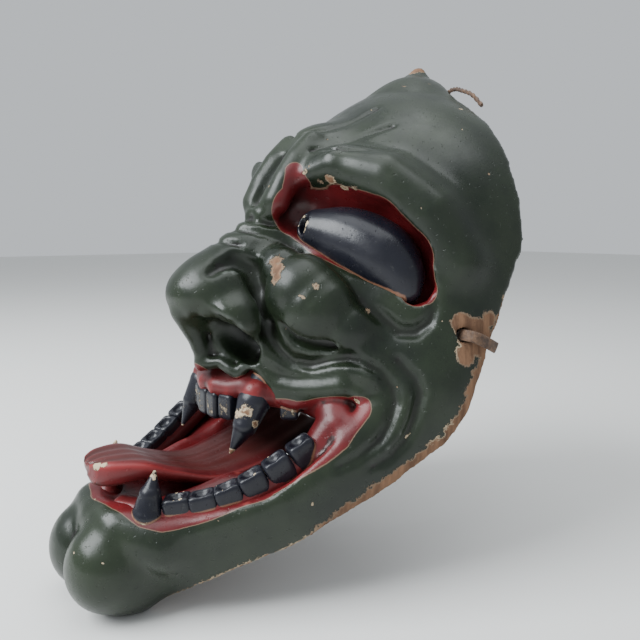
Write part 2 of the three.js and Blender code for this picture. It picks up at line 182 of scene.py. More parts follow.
INNER_WALL = stroke([(16, 8, 188, 3), (18, 8, 180, 5.5), (20, 9, 170, 8.5)])
CREASE = [
    (16, -35, 142, 1), (15, -28, 148, 2.2), (15, -21, 150, 2.8), (18, -16, 143, 3), (22, -16, 135, 3),
    (25, -17, 126, 3), (28, -15, 116, 3), (33, -13, 109, 2.8), (39, -10, 104, 2.8), (46, -4, 103, 2.8),
    (54, 1, 106, 2.8), (59, 6, 107, 2.8), (65, 10, 106, 2.8), (70, 16, 102, 2.8), (73, 19, 95, 2.6),
    (75, 19, 89, 2.4), (76, 15, 80, 2.2), (75, 11, 74, 2), (73, 2, 68, 1.6), (69, -7, 64, 1),
]
CHEEK_FOLD = [
    (34, -15, 122, 1), (38, -12, 119, 2.6), (42, -8, 115, 3), (47, -3, 113, 3), (52, 3, 112, 2.4),
    (57, 8, 114, 0.8),
]
OUTER_FOLD = [
    (66, 16, 110, 1), (72, 23, 106, 2.6), (79, 27, 98, 2.8), (81, 28, 92, 2.6), (81, 25, 82, 2.4),
    (80, 21, 73, 2.2), (78, 14, 66, 2), (75, 6, 63, 1),
]
EYE_FOLD = [
    (40, 9, 148, 1), (52, 13, 140, 2.4), (58, 17, 130, 2.8), (65, 23, 122, 3), (69, 26, 118, 3),
    (74, 31, 118, 3), (77, 36, 122, 2.6), (78, 39, 129, 2), (77, 40, 136, 1),
]
FOREHEAD_FOLDS = [
    [(4, 22, 206, 0.2), (11, 28, 209, 0.5), (15, 40, 213, 0.4), (19, 56, 220, 0.2)],
    [(17, 17, 197, 0.2), (23, 24, 201, 0.6), (27, 36, 205, 0.4), (37, 50, 209, 0.2)],
    [(22, 15, 196, 0.2), (33, 20, 197, 0.5), (46, 28, 196, 0.2)],
]
NOSE_WRINKLES = [
    [(-4, -7, 168, 2), (7, -9, 166, 2), (12, -2, 164, 2), (16, 4, 163, 1)],
    [(-4, -16, 163, 1.6), (2, -16, 162, 1.6), (12, -9, 160, 1.6), (17, -1, 158, 1)],
    [(-4, -25, 157, 1.2), (3, -24, 156, 1.2), (11, -18, 154, 1)],
]

# The large masses, followed everywhere so that the field has no edges inside the wood.
MASSES = [
    add(0, ball((0, 95, 148), (92, 82, 84))),
    add(16, ball((0, 64, 108), (88, 62, 72))),
    add(34, stroke([(0, 90, 192, 38), (0, 98, 226, 14), (0, 103, 246, 2.5)])),
    add(18, stroke(JAW)),
    add(10, stroke(moved(JAW, 0, 7, -14))),
    add(14, ball((0, -30, 40), (34, 52, 16))),
    add(12, stroke(BROW)),
    add(16, stroke([(0, 12, 172, 15), (0, 32, 198, 14)])),
    add(12, stroke([(0, 10, 163, 14), (0, -3, 151, 16), (0, -12, 144, 17), (0, -23, 136, 17)])),
    add(6, ball((0, -24, 132), (23, 25, 18))),
    add(8, stroke([(24, -4, 143, 11), (33, 1, 133, 18), (38, 5, 126, 20), (50, 12, 118, 13)])),
]

NOSE_AND_LIPS = [
    add(4, ball((17.5, -25, 121), (14, 16, 14))),
    add(6, stroke([
        (0, -20, 107, 11), (14, -14, 107, 11), (28, -3, 104, 12), (44, 8, 101, 12), (58, 18, 100, 12),
    ])),
]

MOUTH = [
    carve(6, stroke([(0, -80, 84, 36), (0, -24, 66, 22), (0, 20, 70, 20)])),
    carve(4, stroke([(20, -22, 70, 18), (36, -18, 70, 13), (50, 0, 74, 12), (54, 6, 76, 10)])),
    carve(5, stroke([(30, -70, 62, 16), (44, -32, 62, 14), (50, -4, 72, 12)])),
    carve(4, ball((0, -44, 58), (23, 52, 17))),
    carve(1.5, stroke([
        (0, -28, 86, 8), (8, -22, 84, 8), (16, -20, 89.5, 7.5), (25, -15, 80.5, 8), (37, -9, 77, 8),
        (50, -2, 79, 8), (56, 6, 82, 7.5), (57, 4, 77, 8), (54, -4, 68, 8),
    ])),
]

NOSTRILS = [
    carve(3, stroke([
        (17, -44, 125, 3), (21, -41, 122.5, 5), (25, -35, 117, 6), (25, -27, 110.5, 6), (21, -19, 105, 4),
    ])),
    carve(3, stroke([(12, -40, 119, 4), (13, -33, 117, 7), (15, -26, 114, 8), (17, -16, 108, 7)])),
]

DETAILS = [
    # wall inside each corner of the mouth, then both lips
    add(4, stroke([(34, 3, 85, 8), (48, 8, 84, 10), (54.6, 4, 77, 9.5), (52, -4, 67, 8)])),
    add(2.5, stroke(UPPER_LIP)),
    add(6, stroke(LOWER_LIP)),
    # cleft chin, with the rolls that ring its two balls
    add(6, stroke([(30, -68, 31, 9), (17, -81, 37, 8.5), (0, -85, 36, 8)])),
    add(3, ball((12, -84, 21.5), (18.8, 18.5, 20))),
    add(4, ball((13, -75, 18.5), (18, 18, 20.5))),
    # brow over the socket, hooked at its inner end
    carve(2.5, stroke(EYE_SOCKET)),
    carve(2.5, INNER_WALL),
    add(3, stroke([(30, 21, 190, 8), (22, 16.5, 188, 6), (15, 12, 185.5, 4)])),
    add(3, stroke(LOWER_LID)),
    # rolls between the brows, ending over the root of the nose
    add(4, stroke([(10, 22, 203, 5), (10, 14, 194, 6), (10, 7, 184, 6.5), (10, 2, 174.5, 6.5)])),
    carve(2.5, stroke([(0, 12, 196, 2), (0, 4, 186, 3), (0, -3, 175, 3)])),
    # nostrils, and the crease that runs from the wing of the nose round the mouth
    *NOSTRILS,
    add(3, stroke([(0, -43, 124, 5), (0, -36, 112, 4.5), (0, -33, 103, 4)])),
    carve(2.5, stroke([
        (14, -36, 142, 1), (14, -30, 146, 3), (15, -23, 148, 4.5), (18, -18, 145, 5), (22, -16, 136, 4),
    ])),
    carve(2, stroke(CREASE)),
    carve(2, stroke(CHEEK_FOLD)),
    carve(2, stroke(OUTER_FOLD)),
    carve(2, stroke(EYE_FOLD)),
    add(3, stroke([(24, -12, 104, 4), (28, -8, 98, 4.5), (34, -4, 95, 5), (42, 2, 96, 5), (52, 8, 99, 5)])),
    # flat face of the upper lip, down to its wavy edge
    add(3, stroke([
        (26, -13, 96, 4.5), (31, -10.5, 92, 5), (38, -6, 91, 5), (47, -1, 92, 5), (56, 5, 94, 5),
    ])),
    # folds of the forehead and of the bridge of the nose
    *[carve(3, stroke(fold)) for fold in FOREHEAD_FOLDS],
    *[carve(2, stroke(wrinkle)) for wrinkle in NOSE_WRINKLES],
]

FACE = MASSES + NOSE_AND_LIPS + MOUTH + DETAILS


# ---------------------------------------------------------------- meshes
def grid_axes(low, high, cell):
    return [np.arange(a, b + cell, cell, dtype=np.float32) for a, b in zip(low, high)]


def grid_points(axes):
    return np.stack(np.meshgrid(*axes, indexing="ij"), -1).reshape(-1, 3)


def in_blocks(field, points, size=60000):
    return np.concatenate([field(points[i:i + size]) for i in range(0, len(points), size)])


def sampled(field, low, high, cell, coarse):
    """The field on a fine grid: exact near the surface, and borrowed from a coarse grid elsewhere."""
    coarse_axes = grid_axes(low, high + 2 * coarse, coarse)
    shape = [len(axis) for axis in coarse_axes]
    rough = in_blocks(field, grid_points(coarse_axes))
    fine_axes = grid_axes(low, high, cell)
    nearest = [np.round((axis - axis[0]) / coarse).astype(int) for axis in fine_axes]
    values = rough.reshape(shape)[np.ix_(*nearest)].ravel()
    near = np.abs(values) < 1.5 * coarse
    values[near] = in_blocks(field, grid_points(fine_axes)[near])
    return values.reshape([len(axis) for axis in fine_axes])


def surface_net(values, low, cell):
    """Points and four-sided faces of the surface where the sampled field is zero."""
    inside = values < 0
    size = np.array(values.shape) - 1
    steps = np.eye(3, dtype=int)
    corners = np.zeros(size, np.int8)
    for i in (0, 1):
        for j in (0, 1):
            for k in (0, 1):
                corners += inside[i:i + size[0], j:j + size[1], k:k + size[2]]
    mixed = (corners > 0) & (corners < 8)
    cells = np.argwhere(mixed)
    number = np.full(size, -1, np.int64)
    number[mixed] = np.arange(len(cells))
    total = np.zeros((len(cells), 3))
    count = np.zeros(len(cells))
    faces = []
    for axis in range(3):
        second, third = steps[(axis + 1) % 3], steps[(axis + 2) % 3]
        for i in (0, 1):
            for j in (0, 1):
                start = cells + i * second + j * third
                end = start + steps[axis]
                a, b = values[tuple(start.T)], values[tuple(end.T)]
                crossed = (a < 0) != (b < 0)
                t = np.where(crossed, a / np.where(crossed, a - b, 1), 0)
                place = i * second + j * third + t[:, None] * steps[axis]
                total += np.where(crossed[:, None], place, 0)
                count += crossed
        before = [slice(1, -1)] * 3
        after = [slice(1, -1)] * 3
        before[axis] = slice(0, -1)
        after[axis] = slice(1, None)
        a, b = inside[tuple(before)], inside[tuple(after)]
        for crossings, turn in ((a & ~b, 1), (~a & b, -1)):
            edge = np.argwhere(crossings) + (1 - steps[axis])
            ring = [edge, edge - second, edge - second - third, edge - third]
            faces.append(np.stack([number[tuple(corner.T)] for corner in ring], 1)[:, ::turn])
    return np.array(low) + cell * (cells + total / count[:, None]), np.concatenate(faces)


def make_object(name, points, faces):
    """A smooth mesh from points in mm."""
    mesh = bpy.data.meshes.new(name)
    mesh.from_pydata((points * MM).tolist(), [], faces)
    mesh.validate()
    mesh.shade_smooth()
    made = bpy.data.objects.new(name, mesh)
    bpy.context.scene.collection.objects.link(made)
    return made


def carved_object(name, field, low, high, cell, coarse=4.0):
    low, high = np.array(low, float), np.array(high, float)
    points, faces = surface_net(sampled(field, low, high, cell, coarse), low, cell)
    return make_object(name, points, faces.tolist())


def give(piece, **values):
    """Stores one number per vertex under each name, for the materials to read."""
    for name, numbers in values.items():
        attribute = piece.data.attributes.new(name, "FLOAT", "POINT")
        attribute.data.foreach_set("value", np.asarray(numbers, np.float32))


def points_of(piece):
    flat = np.empty(len(piece.data.vertices) * 3, np.float32)
    piece.data.vertices.foreach_get("co", flat)
    return flat.reshape(-1, 3) / MM


def ridges(piece, passes=2):
    """How sharply the surface bends at each vertex: above 0 on ridges, below 0 in grooves."""
    mesh = piece.data
    edges = np.empty(len(mesh.edges) * 2, int)
    mesh.edges.foreach_get("vertices", edges)
    a, b = edges.reshape(-1, 2).T
    normals = np.empty(len(mesh.vertices) * 3, np.float32)
    mesh.vertices.foreach_get("normal", normals)
    normals = normals.reshape(-1, 3)
    places = points_of(piece)
    run = places[b] - places[a]
    bend = ((normals[b] - normals[a]) * run).sum(1) / np.maximum((run * run).sum(1), 1e-6)
    shares = np.bincount(a, minlength=len(places)) + np.bincount(b, minlength=len(places))
    bent = (np.bincount(a, bend, len(places)) + np.bincount(b, bend, len(places))) / np.maximum(shares, 1)
    for _ in range(passes):
        around = np.bincount(a, bent[b], len(places)) + np.bincount(b, bent[a], len(places))
        bent = (bent + around / np.maximum(shares, 1)) / 2
    return bent


def nearest_of(shapes, points):
    return np.min([distance(points) for distance, low, high in shapes], axis=0)


# ---------------------------------------------------------------- the shell
WALL = 8.5
INSET = 0.25  # the sculpt is drawn in by this much
HOLLOW_FRONT = -52  # the hollow reaches no further towards the chin
RIM_INSET = 0.4
RIM = [
    (103.1, 262), (103.1, 238), (99, 231), (93, 216), (85.2, 188), (81.2, 152), (67, 117.5), (51, 85),
    (41.5, 70), (20.5, 55), (5, 46), (-25, 29), (-56, 14), (-69.5, 0), (-76, -20),
]
MOUTH_WAY = ball((0, 26, 76), (34, 40, 15))
TIE_BORE = stroke([(80, 50, 116, 3.4), (96, 50, 116, 3.4)])


def beyond_rim(points):
    """Distance past the line of the rim, seen from the side: below 0 on the face's side."""
    y, z = points[:, 1], points[:, 2]
    line = np.array(RIM, np.float32)
    nearest = np.full(len(points), 1e3, np.float32)
    for (y0, z0), (y1, z1) in zip(line[:-1], line[1:]):
        along = (y1 - y0, z1 - z0)
        t = ((y - y0) * along[0] + (z - z0) * along[1]) / (along[0] ** 2 + along[1] ** 2)
        t = np.clip(t, 0, 1)
        nearest = np.minimum(nearest, np.hypot(y - y0 - t * along[0], z - z0 - t * along[1]))
    rim_y = np.interp(z, line[::-1, 1], line[::-1, 0])
    hand_cut = 0.25 * np.sin(z * 0.35) + 0.2 * np.sin(z * 0.83 + points[:, 0] * 0.2)
    return np.sign(y - rim_y) * nearest + RIM_INSET + hand_cut


def hollow_field(face, points):
    """Inside the wearer's side, below 0. Tool marks leave it a little uneven."""
    x, y, z = points.T
    marks = 0.35 * np.sin(x * 0.45 + z * 0.1) * np.sin(z * 0.38) + 0.2 * np.sin(y * 0.6 + z * 0.5)
    return np.maximum(face + WALL + marks, HOLLOW_FRONT - y)


def shell_field(points):
    face = sculpt(FACE, points) + INSET
    both = mirrored(points)
    body = smooth_max(face, -hollow_field(face, points), 1.0)
    body = np.maximum(body, -MOUTH_WAY[0](both))
    body = np.maximum(body, -TIE_BORE[0](both))
    body = smooth_max(body, beyond_rim(points), 1.6)
    return smooth_max(body, 0.1 - points[:, 2], 0.6)


SHELL_CELL = 1.4
SHELL_LOW = (-98, -108, -4)
SHELL_HIGH = (98, 108, 254)
shell = carved_object("shell", shell_field, SHELL_LOW, SHELL_HIGH, SHELL_CELL, coarse=6.0)

# how far red paint runs past the edge of an opening
SOCKET_BRIM = 1.1
MOUTH_BRIM = 0.8
# Painted shade: the inside of each nostril, darkened nearly to black in the shell's colour.
NOSTRIL_SHADE = stroke([(13, -36, 119, 5), (15, -29, 117, 9), (17, -20, 112, 9.5), (19, -14, 107, 7)])
PAINTED_LIP = stroke([
    (0, -82, 48, 4), (14, -79, 46.5, 4.5), (27, -73, 44.5, 4.5), (33, -68, 44.5, 4.5),
    (40.5, -53, 47, 4.5), (46.5, -39, 50, 4.5), (54, -24, 57, 5), (58, -12, 63, 6.5), (61, -1, 73, 8),
    (63, 9, 84, 7),
])
MOUTH_INSIDE = stroke([(0, -66, 54, 15), (14, -50, 54, 20), (26, -20, 60, 22), (30, 4, 72, 22)])
MOUTH_CORNER = stroke([
    (34, -4, 84, 6), (46, 2, 84, 8), (57, 4, 82, 8.5), (58, -3, 73, 8), (54, -10, 66, 7),
])
# Where the paint is chipped off, as (x, y, z, radius) on one side only.
CHIPS = [
    (0, 100, 251, 7), (27, 14, 182, 1.5), (33, 16, 183, 2.6), (38, 21, 180, 2), (43, 22, 180, 1.3),
    (30, -12, 148, 3), (33, -13, 144.5, 3.6), (35, -14, 140, 3), (51, -5, 138, 1.1), (57, 19, 126, 1.5),
    (58, 18, 123, 1.2), (84, 49, 121, 5), (87, 55, 115, 9), (88, 62, 109, 7), (86, 49, 107, 5),
    (88, 62, 122, 4), (37, -8, 85, 1.6), (63, 7, 89, 1.2), (47, -41, 19, 2), (24, -62, 2, 3),
    (-30, 14, 183, 2), (-60, 20, 122, 1.5), (-84, 52, 140, 4), (-40, -30, 22, 2.4), (10, -46, 140, 1.4),
    (74, 60, 190, 1.3), (60, 78, 214, 1.2),
]
FANG_CHIPS = [
    (28.5, -26, 82, 3.4), (26, -28, 80, 2.6), (31, -24, 76.5, 2), (26, -33, 64, 1.6), (24, -68, 61, 1.4),
    (-26, -30, 72, 1.6), (-24, -68, 60, 1.8), (30, -75, 43, 1.4),
]


def chip_distance(places, chips):
    return np.min([np.linalg.norm(places - centre, axis=1) - radius for *centre, radius in chips], axis=0)


def shell_values(piece):
    places = points_of(piece)
    both = mirrored(places)
    sockets = nearest_of([stroke(EYE_SOCKET), INNER_WALL], both) - SOCKET_BRIM
    mouth = nearest_of([shape for blend, shape, sign in MOUTH], both) - MOUTH_BRIM
    mouth = np.minimum(mouth, nearest_of([PAINTED_LIP, MOUTH_INSIDE, MOUTH_CORNER], both))
    give(
        piece,
        depth=-sculpt(FACE, places),
        red=np.minimum(sockets, mouth),
        chip=chip_distance(places, CHIPS),
        rim=-beyond_rim(places),
        bend=ridges(piece),
        sunk=NOSTRIL_SHADE[0](both),
    )


shell_values(shell)
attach(shell, "root")
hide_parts("mask_shell")

# ---------------------------------------------------------------- eyes, gums, teeth and tongue
EYE_LINE = [
    (23, 17, 160.5, 10.3), (36, 25.5, 156, 15.3), (49, 32, 149.5, 16), (58, 34.5, 142.5, 12.2),
    (62.5, 35, 136, 8),
]
SIGHT_HOLE = stroke([
    (23, 10, 168.5, 0.8), (22.5, 9, 165, 2.6), (22.5, 9, 161.5, 2.6), (23, 10, 157.5, 0.8),
])
SIGHT_BORE = stroke([(22.5, 4, 163, 2.4), (25, 45, 162, 2.4)])


def along_curve(stations, count):
    """Evenly spread rows along a Catmull-Rom curve through the stations."""
    stations = np.array(stations, float)
    padded = np.vstack([2 * stations[0] - stations[1], stations, 2 * stations[-1] - stations[-2]])
    place = np.linspace(0, len(stations) - 1, count)
    piece = np.minimum(place.astype(int), len(stations) - 2)
    t = (place - piece)[:, None]
    a, b, c, d = (padded[piece + i] for i in range(4))
    square = 2 * a - 5 * b + 4 * c - d
    cube = 3 * b - a - 3 * c + d
    return 0.5 * (2 * b + (c - a) * t + square * t ** 2 + cube * t ** 3)


EYE_STATIONS = 33
eyeball = stroke(along_curve(EYE_LINE, EYE_STATIONS))


def flipped(field, side):
    return lambda points: field(points * np.array([side, 1, 1], np.float32))


def bedded(field, sink=1.5):
    """A piece that stands on the carved face, its hidden part cut off just under the surface."""
    return lambda points: np.maximum(field(points), -sculpt(FACE, points) - sink)


def eye_field(points):
    ball_part = eyeball[0](points)
    opening = np.minimum(SIGHT_BORE[0](points), SIGHT_HOLE[0](points))
    return smooth_max(ball_part, -opening, 0.8)


SIDES = {"left": 1, "right": -1}
SOFT_CELL = 1.0
TOOTH_CELL = 0.6
black_pieces = []
red_pieces = []
leather_pieces = []


def add_piece(node, field, low, high, cell, group):
    """A finely carved piece that stands for the CAD node of that name."""
    piece = carved_object(f"{node}_carved", field, low, high, cell, coarse=3 * cell)
    places = points_of(piece)
    give(piece, depth=-sculpt(FACE, places), bend=ridges(piece), chip=chip_distance(places, FANG_CHIPS))
    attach(piece, "root")
    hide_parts(node)
    group.append(piece)
    return piece


def box_of(low, high, side, room=3):
    low, high = np.array(low, float) - room, np.array(high, float) + room
    if side < 0:
        low[0], high[0] = -high[0], -low[0]
    return low, high


def add_pair(name, shape, cell, joint=None):
    """A black piece on each side. Joint tells how near a point is to the next tooth."""
    field, low, high = shape
    for word, side in SIDES.items():
        box = box_of(low, high, side)
        piece = add_piece(f"{name}_{word}", flipped(field, side), *box, cell, black_pieces)
        if joint:
            give(piece, joint=flipped(joint, side)(points_of(piece)))


add_pair("eye", (bedded(eye_field), *eyeball[1:]), SOFT_CELL)

UPPER_FANG = stroke([
    (23, -15, 92, 6.5), (25, -20.5, 84.5, 7.6), (26.5, -26, 75, 5.6), (25.5, -33, 63.5, 0.8),
])
LOWER_FANG = stroke([(22.5, -71, 36, 7), (24, -71, 44, 7), (24.5, -70, 53, 4.6), (24, -67.5, 62, 0.8)])
# Each tooth as (centre, size, turn).
INCISORS = [((4.5, -28.5, 80.5), (8.8, 8, 13), 0), ((13, -26.5, 81), (8.6, 8, 12), 0.25)]
PREMOLAR = ((34, -7, 82.5), (8.4, 8, 12), 0.8)
MOLARS = [
    (30, -60, 46), (36.2, -51.2, 47.5), (41.2, -41.8, 50.5), (45.4, -32.3, 55.2), (49, -22.5, 61),
    (51.6, -12, 67),
]
MOLAR_SIZE = (9.8, 12, 12.4)
SQUARENESS = 6


def tooth(centre, size, turn, tilt=0.0, scoop=0.0):
    """A rounded block, its top hollowed by scoop."""
    centre = np.array(centre, np.float32)
    half = np.array(size, np.float32) / 2
    cos_turn, sin_turn = math.cos(turn), math.sin(turn)
    cos_tilt, sin_tilt = math.cos(tilt), math.sin(tilt)

    def distance(points):
        x, y, z = (points - centre).T
        across = x * cos_turn + y * sin_turn
        along = y * cos_turn - x * sin_turn
        along, up = along * cos_tilt + z * sin_tilt, z * cos_tilt - along * sin_tilt
        scaled = np.abs(np.stack([across, along, up], 1) / half)
        block = ((scaled ** SQUARENESS).sum(1) ** (1 / SQUARENESS) - 1) * half.min()
        if scoop:
            dish = np.sqrt(across ** 2 + (along * 0.9) ** 2 + (up - half[2] - 3 + scoop) ** 2) - 3.4
            block = smooth_max(block, -dish, 1.2)
        return block

    def joint(points):
        """How near each point is to the flat faces that meet the next teeth: 1 on them."""
        x, y, z = (points - centre).T
        run = (y * cos_turn - x * sin_turn) * cos_tilt + z * sin_tilt
        return np.abs(run) / half[1]

    reach = half.max() + 2
    return (distance, centre - reach, centre + reach), joint


def add_tooth(name, shape, joint=None):
    add_pair(name, shape, TOOTH_CELL, joint)


add_tooth("upper_fang", UPPER_FANG)
add_tooth("lower_fang", LOWER_FANG)
add_tooth("upper_premolar", *tooth(*PREMOLAR))
for number, incisor in enumerate(INCISORS, 1):
    add_tooth(f"upper_incisor_{number}", *tooth(*incisor))
for number, centre in enumerate(MOLARS, 1):
    ahead = MOLARS[min(number, len(MOLARS) - 1)]
    behind = MOLARS[max(number - 2, 0)]
    run = [b - a for a, b in zip(behind, ahead)]
    turn = math.atan2(-run[0], run[1])
    tilt = math.atan2(run[2], math.hypot(run[0], run[1]))
    add_tooth(f"lower_molar_{number}", *tooth(centre, MOLAR_SIZE, turn, tilt, scoop=2.4))

UPPER_FOLDS = stroke([
    (33, -8, 84, 3.5), (29, -13, 87, 5), (25, -19.5, 88.5, 6.8), (19, -21.5, 90.5, 5), (13, -25, 89, 5),
    (5, -28, 89, 5), (0, -27.5, 90, 4.5),
])
VISIBLE_UPPER_GUM = stroke([
    (38, 1, 83, 4.5), (28, -8, 89, 5), (19, -14, 94, 6), (10, -19.5, 94, 6), (0, -23, 93, 6),
])


def upper_gum_field(points):
    both = mirrored(points)
    return smooth_min(VISIBLE_UPPER_GUM[0](both), UPPER_FOLDS[0](both), 3)


def lower_gum_field(points):
    return LOWER_GUM[0](mirrored(points))


add_piece("upper_gum", bedded(upper_gum_field), (-58, -40, 70), (58, 18, 102), SOFT_CELL, red_pieces)
add_piece("lower_gum", bedded(lower_gum_field), (-64, -88, 32), (64, 14, 82), SOFT_CELL, red_pieces)

# The tongue, as (y, z of the top, half width, thickness) from root to tip.
TONGUE = [
    (18, 72, 26, 11), (4, 67, 26, 12), (-14, 61, 25, 12), (-36, 57, 22, 12), (-54, 62, 19, 13),
    (-68, 69, 18, 16.5), (-80, 71, 14, 19), (-86, 69, 9, 15), (-88, 66, 4, 8),
]


def lofted(rings):
    """Points and faces of a closed skin over rings of equal size."""
    rings = np.array(rings)
    count, size = rings.shape[:2]
    points = np.vstack([rings.reshape(-1, 3), rings[0].mean(0), rings[-1].mean(0)])
    faces = []
    for row in range(count - 1):
        for i in range(size):
            j = (i + 1) % size
            faces.append((row * size + i, row * size + j, (row + 1) * size + j, (row + 1) * size + i))
    ends = []
    for i in range(size):
        j = (i + 1) % size
        ends.append((count * size, j, i))
        ends.append((count * size + 1, (count - 1) * size + i, (count - 1) * size + j))
    return points, faces + ends


TONGUE_RINGS = 110
TONGUE_SIDES = 96
TONGUE_CHIPS = [(2, -87, 68, 1.6), (7, -86, 64, 2), (10, -84, 65, 1.5), (-8, -70, 68, 1), (13, -76, 68, 1)]


def make_tongue():
    rings = []
    for y, top, half_width, thickness in along_curve(TONGUE, TONGUE_RINGS):
        ring = []
        for angle in np.linspace(0, 2 * math.pi, TONGUE_SIDES, endpoint=False):
            across = math.cos(angle)
            upward = math.sin(angle)
            height = top - thickness / 2 + upward * thickness / 2
            if upward > 0:
                height -= upward * thickness * 0.3 * (1 - across ** 4)
                height -= 0.35 * upward * (math.cos(across * 13) + 1) * min(thickness / 12, 1)
            ring.append((across * half_width, y + 0.6 * math.sin(across * 3) * upward, height))
        rings.append(ring)
    piece = make_object("tongue_carved", *lofted(rings))
    places = points_of(piece)
    half_widths = np.interp(-places[:, 1], [-row[0] for row in TONGUE], [row[2] for row in TONGUE])
    give(
        piece,
        depth=-sculpt(FACE, places),
        bend=ridges(piece),
        middle=1 - np.abs(places[:, 0]) / half_widths,
        chip=chip_distance(places, TONGUE_CHIPS),
    )
    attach(piece, "root")
    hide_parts("tongue")
    red_pieces.append(piece)


make_tongue()

# ---------------------------------------------------------------- ties and the hanging cord
TIE_ROUTE = [
    (78.5, 63, 111.5), (78.5, 57, 113.5), (80, 51.5, 115.5), (84, 50, 116), (89.3, 51.5, 115.5),
    (91.4, 57, 112.8), (91.3, 63, 110),
]
TIE_WIDTH = 5
TIE_THICKNESS = 1.4
CORD_ROUTE = [
    (10, 82, 206), (13, 95, 216), (18, 101.4, 226), (23, 101.9, 233.2), (28, 101.9, 234.2),
    (33, 101.6, 232.6), (40, 101.2, 229.4), (47, 100.8, 223),
]
CORD_RADIUS = 1.2


def swept(node, route, section, turns=0.0):
    """The section, as (side, up) points, carried along the route and twisted by turns."""
    centres = [Vector(row) for row in route]
    rings = []
    side = Vector((0, 0, 1))
    for i, centre in enumerate(centres):
        heading = (centres[min(i + 1, len(centres) - 1)] - centres[max(i - 1, 0)]).normalized()
        side = (side - heading * side.dot(heading)).normalized()
        up = heading.cross(side)
        twist = 2 * math.pi * turns * i / len(centres)
        ring = []
        for u, v in section:
            across = u * math.cos(twist) - v * math.sin(twist)
            above = u * math.sin(twist) + v * math.cos(twist)
            ring.append(centre + side * across + up * above)
        rings.append(ring)
    piece = make_object(f"{node}_strand", *lofted(rings))
    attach(piece, "root")
    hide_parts(node)
    leather_pieces.append(piece)
    return piece


SECTION_SIDES = 20
strap_section = []
for angle in np.linspace(0, 2 * math.pi, SECTION_SIDES, endpoint=False):
    corner = [math.copysign(abs(f(angle)) ** 0.5, f(angle)) for f in (math.cos, math.sin)]
    strap_section.append((corner[0] * TIE_WIDTH / 2, corner[1] * TIE_THICKNESS / 2))
two_plies = []
for angle in np.linspace(0, 2 * math.pi, SECTION_SIDES, endpoint=False):
    lobe = CORD_RADIUS * (0.84 + 0.16 * math.cos(2 * angle))
    two_plies.append((lobe * math.cos(angle), lobe * math.sin(angle)))
for word, side in SIDES.items():
    route = [(x * side, y, z) for x, y, z in along_curve(TIE_ROUTE, 60)]
    swept(f"side_tie_{word}", route, strap_section)

cord_path = along_curve(CORD_ROUTE, 160)
hanging_cord = swept("hanging_cord", cord_path, two_plies, turns=9)
cord_points = [[float(value) * MM for value in row] for row in (*cord_path[::4], cord_path[-1])]


# ---------------------------------------------------------------- materials
class Shader:
    """Short names for the nodes that the materials are made of."""

    def __init__(self, name):
        self.material = bpy.data.materials.new(name)
        self.material.use_nodes = True
        self.tree = self.material.node_tree
        self.surface = self.tree.nodes["Principled BSDF"]
        self.place = self.node("ShaderNodeTexCoord").outputs["Object"]

    def node(self, kind, **settings):
        made = self.tree.nodes.new(kind)
        for key, value in settings.items():
            setattr(made, key, value)
        return made

    def put(self, socket, value):
        if isinstance(value, bpy.types.NodeSocket):
            self.tree.links.new(value, socket)
        elif isinstance(value, tuple) and len(value) == 3 and socket.type == "RGBA":
            socket.default_value = (*value, 1)
        else:
            socket.default_value = value

    def set(self, **values):
        for key, value in values.items():
            self.put(self.surface.inputs[key.replace("_", " ")], value)

    def number(self, name):
        return self.node("ShaderNodeAttribute", attribute_name=name).outputs["Fac"]

    def noise(self, scale, detail=4.0, rough=0.55, stretch=None):
        made = self.node("ShaderNodeTexNoise")
        made.inputs["Scale"].default_value = scale
        made.inputs["Detail"].default_value = detail
        made.inputs["Roughness"].default_value = rough
        place = self.place
        if stretch:
            mapping = self.node("ShaderNodeMapping")
            mapping.inputs["Scale"].default_value = stretch
            self.put(mapping.inputs["Vector"], place)
            place = mapping.outputs["Vector"]
        self.put(made.inputs["Vector"], place)
        return made.outputs["Fac"]

    def coordinate(self, axis):
        """The place along X, Y or Z, in metres."""
        split = self.node("ShaderNodeSeparateXYZ")
        self.put(split.inputs[0], self.place)
        return split.outputs[axis]

    def math(self, operation, a, b=0.0):
        made = self.node("ShaderNodeMath", operation=operation)
        self.put(made.inputs[0], a)
        self.put(made.inputs[1], b)
        return made.outputs[0]

    def span(self, value, low, high, to_low=0.0, to_high=1.0):
        """Value from low to high, mapped smoothly onto to_low and to_high."""
        made = self.node("ShaderNodeMapRange", interpolation_type="SMOOTHSTEP")
        self.put(made.inputs["Value"], value)
        for key, number in (("From Min", low), ("From Max", high), ("To Min", to_low), ("To Max", to_high)):
            self.put(made.inputs[key], number)
        return made.outputs["Result"]

    def mix(self, share, a, b):
        made = self.node("ShaderNodeMix", data_type="RGBA")
        self.put(made.inputs[0], share)
        self.put(made.inputs[6], a)
        self.put(made.inputs[7], b)
        return made.outputs[2]

    def blend(self, share, a, b):
        made = self.node("ShaderNodeMix", data_type="FLOAT")
        self.put(made.inputs[0], share)
        self.put(made.inputs[2], a)
        self.put(made.inputs[3], b)
        return made.outputs[0]

    def bump(self, height, distance, strength=1.0, under=None):
        made = self.node("ShaderNodeBump")
        made.inputs["Strength"].default_value = strength
        made.inputs["Distance"].default_value = distance
        self.put(made.inputs["Height"], height)
        if under is not None:
            self.put(made.inputs["Normal"], under)
        return made.outputs["Normal"]

    def use_on(self, pieces):
        for piece in pieces:
            piece.data.materials.clear()
            piece.data.materials.append(self.material)


GREEN_DARK = (0.005, 0.009, 0.005)
GREEN_PALE = (0.017, 0.025, 0.013)
RED_DARK = (0.05, 0.005, 0.006)
RED_PALE = (0.145, 0.013, 0.015)
BLACK_DARK = (0.005, 0.0055, 0.010)
BLACK_PALE = (0.013, 0.0135, 0.02)
GESSO = (0.50, 0.40, 0.27)
BARE_WOOD = (0.23, 0.125, 0.07)
BACK_WOOD = (0.10, 0.052, 0.03)
DUST = (0.17, 0.17, 0.15)


